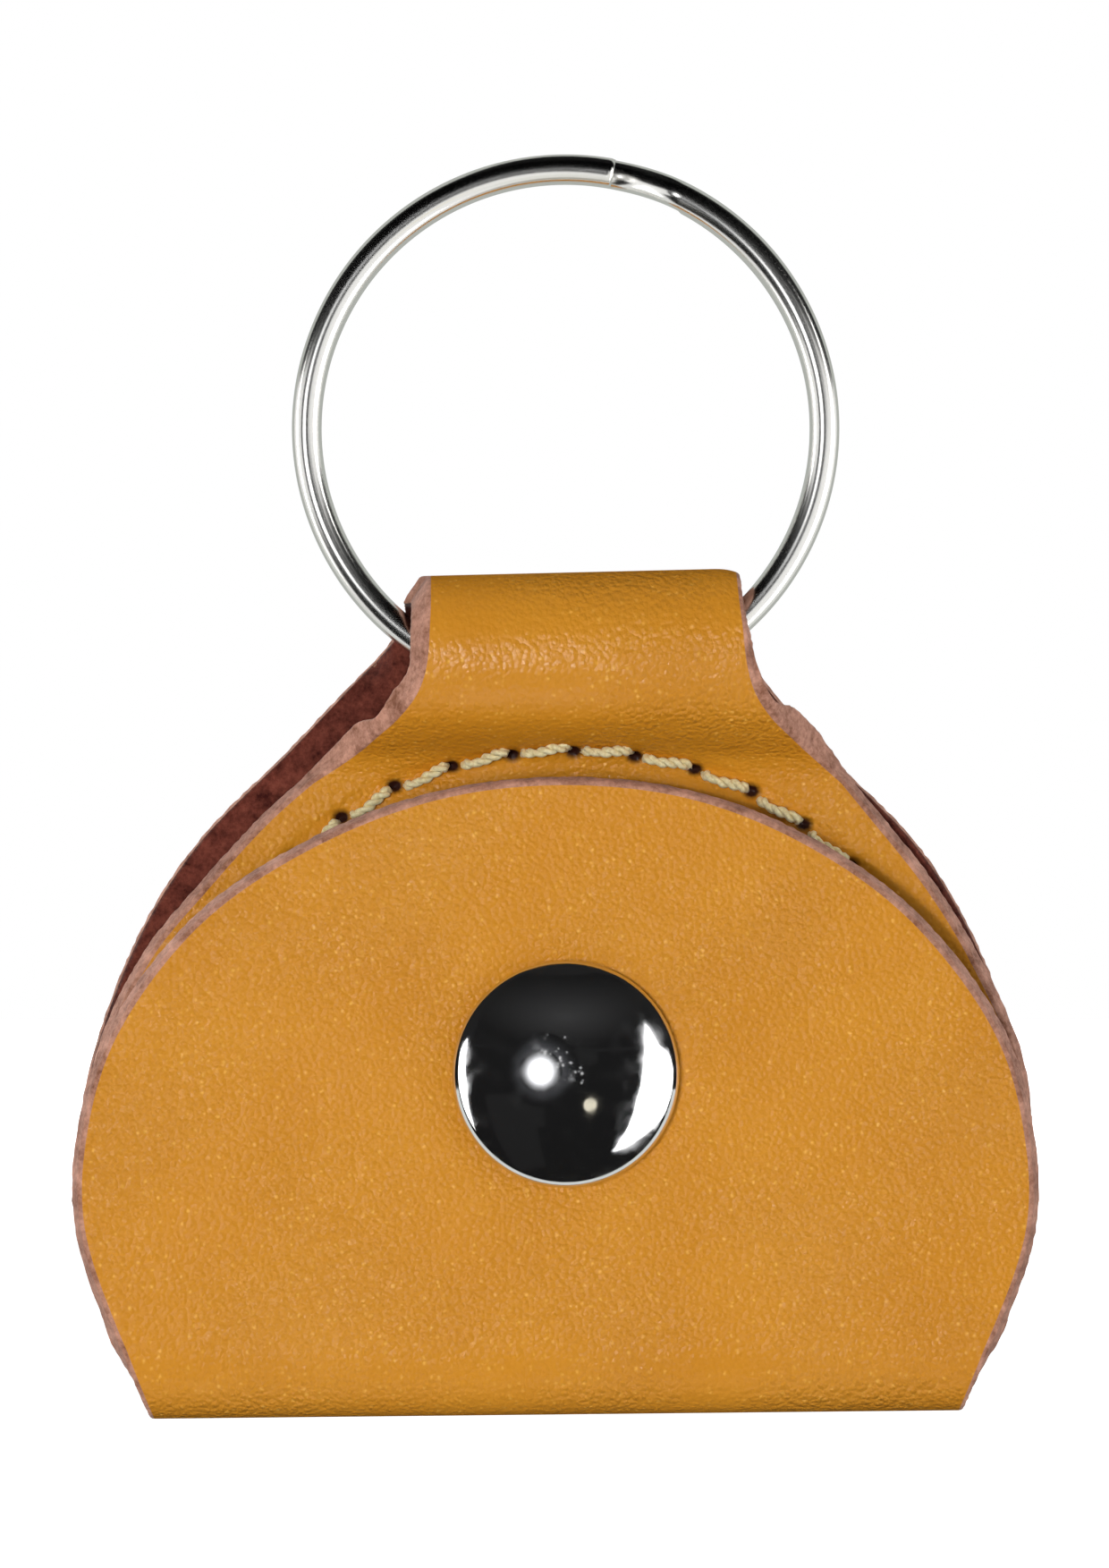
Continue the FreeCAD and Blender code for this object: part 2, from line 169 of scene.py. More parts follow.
def smooth_curve(points):
    """A centripetal Catmull-Rom curve through (half width, height, middle) points.

    An end on the middle line is a rounded tip, so the curve goes on there as its own mirror image.
    """
    knots = [Vector(p) for p in points]
    last, near = knots[-1], knots[-2]
    before = 2 * knots[0] - knots[1]
    after = Vector((-near.x, near.y, near.z)) if last.x == 0 else 2 * last - near
    knots = [before, *knots, after]
    out = []
    for p in zip(knots, knots[1:], knots[2:], knots[3:]):
        t = [0.0]
        for a, b in zip(p, p[1:]):
            t.append(t[-1] + (b - a).length ** 0.5)
        for k in range(CURVE_STEPS):
            u = t[1] + (t[2] - t[1]) * k / CURVE_STEPS
            a1, a2, a3 = (p[i].lerp(p[i + 1], (u - t[i]) / (t[i + 1] - t[i])) for i in range(3))
            b1 = a1.lerp(a2, (u - t[0]) / (t[2] - t[0]))
            b2 = a2.lerp(a3, (u - t[1]) / (t[3] - t[1]))
            out.append(b1.lerp(b2, (u - t[1]) / (t[2] - t[1])))
    out.append(last)
    return out


BACK_CURVE = smooth_curve(BACK_EDGE)
POCKET_CURVE = smooth_curve(POCKET_EDGE)
FLAP_CURVE = smooth_curve(FLAP_EDGE)


def outline_at(curve, z):
    """(half width, middle) of an outline at height z."""
    for p, q in zip(curve, curve[1:]):
        if p.y <= z <= q.y:
            spot = p.lerp(q, (z - p.y) / max(q.y - p.y, 1e-9))
            return spot.x, spot.z
    end = curve[0] if z < curve[0].y else curve[-1]
    return end.x, end.z


def ease(value, low, high):
    """0 up to low, 1 from high on, and a smooth step between them."""
    share = min(max((value - low) / (high - low), 0.0), 1.0)
    return share * share * (3 - 2 * share)


def strip_outline(s):
    """Half width and middle of the strip at distance s, away from the flap's rounded tip."""
    z = PATH.at(s)[1]
    if s <= MARKS["fold"]:
        return outline_at(FLAP_CURVE, z)
    if s <= MARKS["back"]:
        share = ease(s, MARKS["fold"], MARKS["back"])
        return tuple((1 - share) * f + share * b
                     for f, b in zip(outline_at(FLAP_CURVE, z), outline_at(BACK_CURVE, z)))
    if s <= MARKS["loop_top"]:
        return outline_at(BACK_CURVE, z)
    return outline_at(POCKET_CURVE, z)


FLAP_ROW_STEP = 0.35


def flap_rows():
    """(half width, middle, s) down the flap's edge from the tip, evenly along the edge."""
    carry = 0.0
    edge = [p for p in reversed(FLAP_CURVE) if p.y >= FOLD_R]
    rows = [(0.0, edge[0].z, 0.0)]
    for p, q in zip(edge, edge[1:]):
        run = (q - p).length
        while carry + run >= FLAP_ROW_STEP:
            p = p.lerp(q, (FLAP_ROW_STEP - carry) / run)
            rows.append((p.x, p.z, FLAP_TOP - min(p.y, FLAP_TOP)))
            run = (q - p).length
            carry = 0.0
        carry += run
    return [row for row in rows if row[2] < MARKS["fold"] - 0.2]


def even_rows(start, end, step):
    """(half width, middle, s) of the strip from start to end, about a step apart."""
    count = max(2, round((end - start) / step))
    spots = [start + (end - start) * i / count for i in range(count + 1)]
    return [(*strip_outline(s), s) for s in spots]


# ---------------------------------------------------------------- surface detail of the leather
FRONT_CHANNEL = (0.16, 0.75)    # depth and half width of the channel that the stitches lie in
BACK_CHANNEL = (0.75, 0.42)
CHANNEL_TOP = 39                # the loop begins above this height
CHANNEL_RUN_OUT = 0.2           # how far the channel runs past its last hole, in stitches
HOLE_SHIFT = (-0.06, 0.06)      # where a hole's mouth is, from the middle of its thread
HOLE_R = (0.36, 0.31)
HOLE_DEPTH = 0.45
CAP_DENT = 0.12                 # how far the cap's rim presses into the flap
CAP_DENT_INSET = 0.6
CAP_DENT_WIDTH = 1.1


def stitch_holes():
    count = STITCH_HALF_COUNT
    angles = [i * STITCH_STEP + STITCH_TILT for i in range(-count, count + 1)]
    return [(STITCH_X + STITCH_R * math.sin(a), STITCH_Z + STITCH_R * math.cos(a)) for a in angles]


HOLES = stitch_holes()


def stitching_at(x, z, channel):
    """How far the stitching channel and each stitch hole sink at (x, z), in mm, and how strongly shade is
    painted into a stitch hole there.
    """
    radius = math.hypot(x - STITCH_X, z - STITCH_Z)
    angle = abs(math.atan2(x - STITCH_X, z - STITCH_Z) - STITCH_TILT)
    last_hole = STITCH_STEP * STITCH_HALF_COUNT
    if angle >= last_hole + 0.5 * STITCH_STEP:
        return 0.0, 0.0
    depth, width = channel
    inside = 1 - ease(angle, last_hole, last_hole + CHANNEL_RUN_OUT * STITCH_STEP)
    sink, dark = depth * inside * math.exp(-((radius - STITCH_R) / width) ** 4), 0.0
    for hole_x, hole_z in HOLES:
        gap = (((x - hole_x - HOLE_SHIFT[0]) / HOLE_R[0]) ** 2
               + ((z - hole_z - HOLE_SHIFT[1]) / HOLE_R[1]) ** 2)
        if gap < 9:
            # each hole sinks, and painted shade darkens it
            sink += HOLE_DEPTH * math.exp(-gap)
            dark = max(dark, math.exp(-gap * 0.45))
    return sink, dark


def bump_at(x, s, z):
    """How far the grain side sinks, in mm, and how strongly shade is painted into a stitch hole there."""
    if s > MARKS["loop_top"] and z < CHANNEL_TOP:
        return stitching_at(x, z, FRONT_CHANNEL)
    if MARKS["back"] < s < MARKS["loop"]:
        return stitching_at(x, z, BACK_CHANNEL)
    if s < MARKS["fold"]:
        off_dent = math.hypot(x, z - SNAP_Z) - CAP_R + CAP_DENT_INSET
        return CAP_DENT * math.exp(-(off_dent / CAP_DENT_WIDTH) ** 2), 0.0
    return 0.0, 0.0


# profile of an edge: (distance out from the grain side's edge, depth from the grain side)
EDGE_PROFILE = [(-0.36, 0.0), (-0.24, 0.02), (-0.14, 0.08), (-0.08, 0.20), (-0.01, 0.45), (0.08, 0.75),
                (0.17, 1.05), (0.24, 1.28), (0.23, 1.42), (0.12, 1.5)]
FOLD_SLANT = 0.0105        # the bottom fold rises this much per mm to the right
LOOP_SLANT = 0.024         # and so does the top of the loop
LOOP_SKEW_LEFT = 0.55      # mm by which the loop's cut edge slants on its left
LOOP_SKEW_RIGHT = -0.45
CORNER_DROP = 0.50         # how far the loop's top right corner is worn down
TOP_FLARE = 0.35           # how much of the cut edge the front shows where it faces up
BACK_FLARE = -1.3          # the back panel's edge slants the other way
PRESS_ROOM = 0.16          # mm left free round the ring where it presses into the loop
PRESS_LIMIT = 1.28         # and how far it can press in
PRESS_LEAD = 2.0           # mm over which the pressed stretch begins on the back panel
PRESS_FADE = 3.2           # and ends on the way to the pocket
PRESS_TURN = 0.85          # radians that it reaches past the front of the loop
PRESS_SIDES = (0.81, 0.95)    # it fades out between these shares of the ring's inner radius
CORNER_X = (7.6, 10.2)     # where the worn corner begins and is worn down in full
CORNER_Z = (42, 46)
FOLD_SLANT_TOP = 14        # the fold's slant is gone at this height
LOOP_SLANT_Z = (38, 45)    # and the loop's slant comes in between these


def squeeze(x, s):
    """How far the ring presses into the inside of the loop near its edges as it swings, in mm."""
    ring_in = (RING_HIGH.z - RING_LOW.z) / 2 / MM - WIRE_RADIAL
    drop = -(LOOP_Z + BASE_Z)
    inner, outer = (share * ring_in for share in PRESS_SIDES)
    start = MARKS["loop"] - PRESS_LEAD
    if abs(x) > outer or not start < s < MARKS["pocket"]:
        return 0.0
    press = drop - math.sqrt(ring_in ** 2 - x ** 2) - (LOOP_R - THICK / 2) + PRESS_ROOM
    end = MARKS["loop_top"] + LOOP_R * (math.pi / 2 + PRESS_TURN)
    window = ease(s, start, MARKS["loop"]) * (1 - ease(s, end, end + PRESS_FADE))
    return min(max(press, 0.0), PRESS_LIMIT) * window * (1 - ease(abs(x), inner, outer))


def leather_point(x, s, depth):
    """A point of the leather, depth mm below the grain side."""
    depth *= 1 - squeeze(x, s) / THICK
    y, z, heading = PATH.at(s)
    lift = THICK / 2 - depth
    y, z = y + lift * math.sin(heading), z - lift * math.cos(heading)
    into_loop = ease(s, MARKS["loop"] - 3, MARKS["loop_top"])
    out_of_loop = ease(s, MARKS["pocket"] - 11, MARKS["pocket"] - 4)
    skew = -LOOP_SKEW_LEFT if x < 0 else LOOP_SKEW_RIGHT
    z -= CORNER_DROP * ease(x, *CORNER_X) ** 2 * ease(z, *CORNER_Z)
    x += skew * (into_loop * (1 - out_of_loop)) * (depth / THICK - 0.5) * ease(abs(x), 0, 9)
    slant = FOLD_SLANT * (1 - ease(z, 0, FOLD_SLANT_TOP)) + LOOP_SLANT * ease(z, *LOOP_SLANT_Z)
    return Vector((x, y, z + slant * x))


EDGE_ROUGH = 0.035         # mm by which the cut edge wanders
GRAIN_FACE, EDGE_FACE, FLESH_FACE = 0, 1, 2    # the skin's material slots
ACROSS = 132               # faces across the strip


def outwards(rows, i):
    """Which way is out of the strip at its edge beside row i: (across, along)."""
    before, after = rows[max(i - 1, 0)], rows[min(i + 1, len(rows) - 1)]
    widening, run = after[0] - before[0], after[2] - before[2]
    if rows[i][0] < 1e-6:
        widening, run = 1.0, 0.0
    norm = math.hypot(widening, run)
    return run / norm, -widening / norm


def edge_flare(s, out_x):
    """How much of the cut edge shows from the grain side at s: below 0 it shows from the flesh side."""
    flare = 1.0
    if s < MARKS["fold"]:
        flare = TOP_FLARE + (1 - TOP_FLARE) * ease(abs(out_x), 0.1, 0.8)
    if s < MARKS["loop_top"]:
        into_back = ease(s, MARKS["back"], MARKS["back"] + 6)
        out_of_back = ease(-s, -MARKS["loop_top"], -MARKS["loop"])
        flare -= (1 - BACK_FLARE) * into_back * out_of_back
    return flare


def skin_row(rows, i):
    """Once round the strip at row i, as (x from the middle, s, depth, kind of face) points."""
    w, _, s = rows[i]
    out_x, out_s = outwards(rows, i)
    flare = edge_flare(s, out_x)
    inset, (flesh_reach, _) = -EDGE_PROFILE[0][0], EDGE_PROFILE[-1]
    rough = [random.uniform(-EDGE_ROUGH, EDGE_ROUGH) for _ in range(2 * len(EDGE_PROFILE))]
    spread = [-1 + 2 * k / ACROSS for k in range(ACROSS + 1)]

    def edge_points(hand, order, rough):
        for j in order:
            grow, depth = EDGE_PROFILE[j]
            reach = grow if grow < 0 else grow * flare
            if j > 2:
                reach += rough[j]
            yield hand * max(w + reach * out_x, 0), s + reach * out_s, depth, EDGE_FACE

    inner = range(1, len(EDGE_PROFILE) - 1)
    grow = flesh_reach * flare
    return [*((u * max(w - inset * out_x, 0), s - inset * out_s, 0.0, GRAIN_FACE) for u in spread),
            *edge_points(1, inner, rough),
            *((-u * (w + grow * out_x), s + grow * out_s, THICK, FLESH_FACE) for u in spread),
            *edge_points(-1, reversed(inner), rough[len(EDGE_PROFILE):])]


def leather_mesh(name, rows, close_end):
    """The strip's skin as a closed tube of rows: grain side, edge, flesh side, edge."""
    verts, uvs, hole_shades, kinds = [], [], [], []
    for i, (_, middle, _) in enumerate(rows):
        ring = skin_row(rows, i)
        for x, s, depth, kind in ring:
            x += middle
            sink, dark = bump_at(x, s, PATH.at(s)[1]) if kind == GRAIN_FACE else (0.0, 0.0)
            verts.append(leather_point(x, s, depth + sink) * MM + Vector((0, 0, BASE_Z * MM)))
            uvs.append((x, s))
            hole_shades.append(dark)
        around = len(ring)
        kinds = [here[3] if here[3] == there[3] else EDGE_FACE
                 for here, there in zip(ring, ring[1:] + ring[:1])]
    faces = [(i + k, i + (k + 1) % around, i + around + (k + 1) % around, i + around + k)
             for i in range(0, (len(rows) - 1) * around, around) for k in range(around)]
    kinds *= len(rows) - 1
    if close_end:
        faces.append(tuple(range((len(rows) - 1) * around, len(rows) * around)))
        kinds.append(EDGE_FACE)
    mesh = bpy.data.meshes.new(name)
    mesh.from_pydata([v[:] for v in verts], [], faces)
    layer = mesh.uv_layers.new(name="flat")
    for face, kind in zip(mesh.polygons, kinds):
        face.use_smooth = len(face.vertices) == 4
        face.material_index = kind
        for corner in face.loop_indices:
            layer.data[corner].uv = uvs[mesh.loops[corner].vertex_index]
    # how much painted shade each point of a stitch hole gets
    dark = mesh.attributes.new("hole", "FLOAT", "POINT")
    dark.data.foreach_set("value", hole_shades)
    obj = bpy.data.objects.new(name, mesh)
    bpy.context.scene.collection.objects.link(obj)
    for material in (GRAIN, EDGE, SUEDE):
        mesh.materials.append(material)
    return obj


# ---------------------------------------------------------------- materials
GRAIN_LIGHT = (0.60, 0.250, 0.016)
GRAIN_DARK = (0.55, 0.218, 0.012)
GRAIN_DEEP = (0.46, 0.165, 0.008)
# painted highlight: the colour of the glints on the pebbles
GLINT_PAINT = (1.0, 0.60, 0.12)
# painted shade: the near-black colour put into the stitch holes
HOLE_SHADE = (0.022, 0.005, 0.003)
EDGE_DARK = (0.20, 0.080, 0.045)
EDGE_LIGHT = (0.60, 0.315, 0.225)
SUEDE_DARK = (0.038, 0.006, 0.004)
SUEDE_LIGHT = (0.19, 0.048, 0.030)
THREAD_LIGHT = (1.0, 0.92, 0.58)
THREAD_DARK = (0.78, 0.66, 0.33)
LOOP_FRONT_S = MARKS["loop_top"] + LOOP_R * math.pi / 2 + 0.4    # where the loop is rubbed shiny


def new_material(name):
    material = bpy.data.materials.new(name)
    material.use_nodes = True
    tree = material.node_tree
    return material, tree, tree.nodes["Principled BSDF"]


def node(tree, kind, inputs=None, **settings):
    """A new shader node; an input is given a value or linked to a socket."""
    made = tree.nodes.new(kind)
    for key, value in settings.items():
        setattr(made, key, value)
    for key, value in (inputs or {}).items():
        if isinstance(value, bpy.types.NodeSocket):
            tree.links.new(value, made.inputs[key])
        else:
            made.inputs[key].default_value = value
    return made


def math_node(tree, operation, a, b=0.0):
    return node(tree, "ShaderNodeMath", {0: a, 1: b}, operation=operation).outputs[0]


def mix_colour(tree, share, a, b, blend="MIX"):
    made = node(tree, "ShaderNodeMix", {"Factor": share}, data_type="RGBA", blend_type=blend)
    for slot, value in ((6, a), (7, b)):
        if isinstance(value, bpy.types.NodeSocket):
            tree.links.new(value, made.inputs[slot])
        else:
            made.inputs[slot].default_value = (*value, 1)
    return made.outputs[2]


def ramp(tree, value, stops):
    """Value taken from the range of the first two stops to the range of the last two."""
    made = node(tree, "ShaderNodeMapRange", {"Value": value, "From Min": stops[0], "From Max": stops[1],
                                             "To Min": stops[2], "To Max": stops[3]})
    return made.outputs[0]


def flat_coordinates(tree):
    """Millimetres across and along the strip as if it were laid out flat."""
    return node(tree, "ShaderNodeUVMap", uv_map="flat").outputs[0]


def noise(tree, place, scale, detail, output=0, **inputs):
    inputs = {"Vector": place, "Scale": scale, "Detail": detail, **inputs}
    return node(tree, "ShaderNodeTexNoise", inputs).outputs[output]


def glint_dot_mask(tree, flat):
    """Small pale dots, of uneven size and in loose groups, where glints are painted into the colour."""
    warped = mix_colour(tree, 0.22, flat, noise(tree, flat, 3.0, 2.0, "Color"), "ADD")
    dots = node(tree, "ShaderNodeTexVoronoi", {"Vector": warped, "Scale": 2.5, "Randomness": 1.0})
    cell = node(tree, "ShaderNodeSeparateColor", {"Color": dots.outputs["Color"]}).outputs[0]
    near = ramp(tree, dots.outputs["Distance"], (0.05, 0.34, 1, 0))
    groups = noise(tree, flat, 0.22, 2.0)
    sparse = math_node(tree, "SUBTRACT", cell, ramp(tree, groups, (0.35, 0.65, 0.25, -0.15)))
    return math_node(tree, "MULTIPLY", near, ramp(tree, sparse, (0.3, 0.85, 0, 1)))


def loop_shine(tree, flat):
    """1 on the front of the loop and 0 away from it."""
    along = node(tree, "ShaderNodeSeparateXYZ", {"Vector": flat}).outputs["Y"]
    off_front = math_node(tree, "ABSOLUTE", math_node(tree, "SUBTRACT", along, LOOP_FRONT_S))
    return ramp(tree, off_front, (1.0, 4.0, 1, 0))


def grain_material():
    material, tree, shader = new_material("leather_grain")
    flat = flat_coordinates(tree)
    fine = noise(tree, flat, 4.2, 3.0)
    glint_dots = glint_dot_mask(tree, flat)
    cloudy = noise(tree, flat, 0.12, 3.0)
    colour = mix_colour(tree, ramp(tree, cloudy, (0.3, 0.7, 0, 1)), GRAIN_DARK, GRAIN_LIGHT)
    colour = mix_colour(tree, ramp(tree, fine, (0.35, 0.75, 0, 0.22)), colour, GRAIN_DEEP)
    # pale dots painted into the colour as glints on the pebbles
    colour = mix_colour(tree, math_node(tree, "MULTIPLY", glint_dots, 0.42), colour, GLINT_PAINT)
    # painted shade darkens the stitch holes
    hole = node(tree, "ShaderNodeAttribute", attribute_name="hole").outputs["Fac"]
    colour = mix_colour(tree, ramp(tree, hole, (0.25, 0.7, 0, 1)), colour, HOLE_SHADE)
    tree.links.new(colour, shader.inputs["Base Color"])
    shader.inputs["Roughness"].default_value = 0.5
    shader.inputs["Specular IOR Level"].default_value = 0.12

    patches = noise(tree, flat, 0.09, 1.0)
    coat = math_node(tree, "MAXIMUM", ramp(tree, patches, (0.40, 0.62, 0.12, 0.45)),
                     math_node(tree, "MULTIPLY", loop_shine(tree, flat), 0.55))
    tree.links.new(coat, shader.inputs["Coat Weight"])
    shader.inputs["Coat Roughness"].default_value = 0.24

    pebbles = node(tree, "ShaderNodeTexVoronoi", {"Vector": flat, "Scale": 3.4, "Smoothness": 0.35},
                   feature="SMOOTH_F1").outputs["Distance"]
    height = math_node(tree, "ADD", pebbles, math_node(tree, "MULTIPLY", fine, 0.7))
    height = math_node(tree, "ADD", height, math_node(tree, "MULTIPLY", glint_dots, 0.15))
    bump = node(tree, "ShaderNodeBump", {"Strength": ramp(tree, patches, (0.35, 0.62, 0.45, 1.0)),
                                         "Distance": 0.00011, "Height": height})
    tree.links.new(bump.outputs[0], shader.inputs["Normal"])
    tree.links.new(bump.outputs[0], shader.inputs["Coat Normal"])
    return material


def fibre_material(name, dark, light, bump_distance):
    """A raw leather surface: the cut edge or the suede flesh side."""
    material, tree, shader = new_material(name)
    coarse = noise(tree, flat_coordinates(tree), 0.8, 5.0)
    place = node(tree, "ShaderNodeTexCoord").outputs["Object"]
    fibres = noise(tree, place, 3200.0, 4.0, Roughness=0.7)
    share = math_node(tree, "MULTIPLY", math_node(tree, "ADD", coarse, fibres), 0.5)
    colour = mix_colour(tree, ramp(tree, share, (0.36, 0.64, 0, 1)), dark, light)
    tree.links.new(colour, shader.inputs["Base Color"])
    shader.inputs["Roughness"].default_value = 0.95
    shader.inputs["Specular IOR Level"].default_value = 0.15
    shader.inputs["Sheen Weight"].default_value = 0.10
    shader.inputs["Sheen Roughness"].default_value = 0.5
    bump = node(tree, "ShaderNodeBump", {"Strength": 0.8, "Distance": bump_distance, "Height": fibres})
    tree.links.new(bump.outputs[0], shader.inputs["Normal"])
    return material


def metal_material(name, colour, roughness, scratch=0.0, metallic=1.0):
    material, tree, shader = new_material(name)
    shader.inputs["Base Color"].default_value = (*colour, 1)
    shader.inputs["Metallic"].default_value = metallic
    shader.inputs["Roughness"].default_value = roughness
    if scratch:
        place = node(tree, "ShaderNodeTexCoord").outputs["Object"]
        wear = noise(tree, place, 900.0, 4.0)
        rough = ramp(tree, wear, (0.45, 0.75, roughness, roughness + scratch))
        tree.links.new(rough, shader.inputs["Roughness"])
    return material


def thread_material():
    material, tree, shader = new_material("thread")
    place = node(tree, "ShaderNodeTexCoord").outputs["Object"]
    fuzz = noise(tree, place, 5200.0, 3.0)
    colour = mix_colour(tree, ramp(tree, fuzz, (0.35, 0.65, 0, 1)), THREAD_DARK, THREAD_LIGHT)
    tree.links.new(colour, shader.inputs["Base Color"])
    shader.inputs["Roughness"].default_value = 0.42
    shader.inputs["Sheen Weight"].default_value = 0.3
    bump = node(tree, "ShaderNodeBump", {"Strength": 0.6, "Distance": 0.00003, "Height": fuzz})
    tree.links.new(bump.outputs[0], shader.inputs["Normal"])
    return material


GRAIN = grain_material()
EDGE = fibre_material("leather_edge", EDGE_DARK, EDGE_LIGHT, 0.00006)
SUEDE = fibre_material("leather_suede", SUEDE_DARK, SUEDE_LIGHT, 0.00008)
THREAD = thread_material()
RING_METAL = metal_material("ring_nickel", (0.86, 0.85, 0.82), 0.19)
CAP_METAL = metal_material("cap_chrome", (0.84, 0.84, 0.85), 0.06, 0.12, 0.985)
SNAP_METAL = metal_material("snap_nickel", (0.66, 0.64, 0.60), 0.24)


# ---------------------------------------------------------------- leather pieces
SEAM = MARKS["back"] + 1.0          # where the bending piece meets the one that rides on the holder
FOLD_STEP = 0.3
STRAP_STEPS = [(SEAM, 0.5), (MARKS["back"] + 20, 0.24), (MARKS["loop"], 0.22), (MARKS["pocket"], 0.22),
               (MARKS["pocket"] + 12, 0.5), (PATH.length, 0)]    # (start, distance between rows)


def strap_rows():
    rows = [(*strip_outline(SEAM), SEAM)]
    for (start, step), (end, _) in zip(STRAP_STEPS, STRAP_STEPS[1:]):
        rows += even_rows(start, end, step)[1:]
    return rows


flap = leather_mesh("flap_leather", flap_rows() + even_rows(MARKS["fold"], SEAM, FOLD_STEP), False)
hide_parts("leather_flap")
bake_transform(flap)

strap = leather_mesh("strap_leather", strap_rows(), True)
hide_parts("leather_strap")
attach(strap, "holder")


# ---------------------------------------------------------------- threads
def tube(points, radius, sides, verts, faces):
    """A closed tube along points, with its section carried along without twist."""
    start = len(verts)
    tangent = (points[1] - points[0]).normalized()
    across = tangent.orthogonal().normalized()
    for i, p in enumerate(points):
        ahead = (points[min(i + 1, len(points) - 1)] - points[max(i - 1, 0)]).normalized()
        across = (across - ahead * across.dot(ahead)).normalized()
        other = ahead.cross(across)
        for k in range(sides):
            a = 2 * math.pi * k / sides
            verts.append(p + (across * math.cos(a) + other * math.sin(a)) * radius)
        if i:
            base = start + (i - 1) * sides
            for k in range(sides):
                n = (k + 1) % sides
                faces.append((base + k, base + n, base + sides + n, base + sides + k))
    last = start + (len(points) - 1) * sides
    faces.append(tuple(start + k for k in reversed(range(sides))))
    faces.append(tuple(last + k for k in range(sides)))


def solid_object(name, verts, faces, material):
    mesh = bpy.data.meshes.new(name)
    mesh.from_pydata([v[:] for v in verts], [], faces)
    mesh.polygons.foreach_set("use_smooth", [len(f) <= 4 for f in faces])
    mesh.materials.append(material)
    obj = bpy.data.objects.new(name, mesh)
    bpy.context.scene.collection.objects.link(obj)
    return obj


PLIES = 2
PLY_R = 0.17
PLY_SPREAD = 0.155         # how far each ply's middle is from the thread's middle
PLY_PITCH = 1.2
PINCH = 0.55               # share of the spread that is lost where the thread is tightest,
PINCH_AT = 0.27            # which is this share of the way along a stitch
PINCH_WIDTH = 0.13
STITCH_STEPS = 44
STITCH_START = 0.15        # a stitch comes out of its first hole this share of the way to the next
STITCH_SPAN = 0.74         # and covers this share
FRONT_LIFT = 0.20          # height of a thread's middle above the leather
REAR_LIFT = -0.36


def stitch_line(first, last, surface, front, lift):
    """Centre line of one stitch, from inside one hole to inside the next, with a slant and a sag."""
    a, b = Vector(first), Vector(last)
    along = (b - a).normalized()
    up = Vector((-along.y, along.x)) * front
    points = []
    for i in range(STITCH_STEPS + 1):
        t = i / STITCH_STEPS
        rise = -0.13 - 0.10 * math.sin(math.pi * min(1.0, t * 1.6)) + 0.20 * t * t
        p = a.lerp(b, STITCH_START + STITCH_SPAN * t) + up * rise
        ends = min(t, 1 - t)
        dip = math.exp(-(ends / 0.05) ** 2)
        y = surface(p.x, p.y) - front * (lift * (1 - math.exp(-(ends / 0.08) ** 2)) - dip)
        points.append(Vector((p.x, y, p.y + BASE_Z)))
    return points


def twisted(line, verts, faces):
    """Plies wound round a centre line, tighter just after the first hole."""
    turn = random.uniform(0, math.pi)
    across = Vector((0, 1, 0))
    for ply in range(PLIES):
        run, points = 0.0, []
        for i, p in enumerate(line):
            if i:
                run += (p - line[i - 1]).length
            ahead = (line[min(i + 1, len(line) - 1)] - line[max(i - 1, 0)]).normalized()
            one = across - ahead * across.dot(ahead)
            one = one.normalized() if one.length > 0.1 else ahead.orthogonal().normalized()
            two = ahead.cross(one)
            a = turn + 2 * math.pi * (run / PLY_PITCH + ply / PLIES)
            share = i / (len(line) - 1)
            spread = PLY_SPREAD * (1 - PINCH * math.exp(-((share - PINCH_AT) / PINCH_WIDTH) ** 2))
            points.append((p + (one * math.cos(a) + two * math.sin(a)) * spread) * MM)
        tube(points, PLY_R * MM, 8, verts, faces)


def pocket_surface(x, z):
    """Front face of the pocket panel, with the swell of the loop above it."""
    panel_y, panel_top, _ = PATH.at(MARKS["pocket"])
    face = panel_y - THICK / 2
    rise = z - panel_top + 0.12
    if rise <= 0:
        return face
    inner = LOOP_EASE_R - THICK / 2
    return face - inner + math.sqrt(inner ** 2 - min(rise, 0.85 * inner) ** 2)


def rear_surface(x, z):
    return REAR_Y


def sewn(name, surface, front, lift, cad_node):
    """One side's stitches; front is 1 where they face the front and -1 where they face the rear."""
    verts, faces = [], []
    for first, last in zip(HOLES, HOLES[1:]):
        twisted(stitch_line(first, last, surface, front, lift), verts, faces)
    obj = solid_object(name, verts, faces, THREAD)
    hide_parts(cad_node)
    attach(obj, "holder")


sewn("needle_stitches", pocket_surface, 1, FRONT_LIFT, "needle_thread")
sewn("bobbin_stitches", rear_surface, -1, REAR_LIFT, "bobbin_thread")


# ---------------------------------------------------------------- split ring
FRONT_END = 10.6           # degrees clockwise from the top, seen from the front
REAR_END = 27.5
JOGGLE_START = 26.5        # the wire crosses from the front turn to the rear one from here to FRONT_END
TURN_GAP = 0.02            # mm from each turn to the plane between them
END_WEAR = 0.08            # mm over which a cut end is rounded
RING_STEPS = 900
WIRE_SIDES = 28


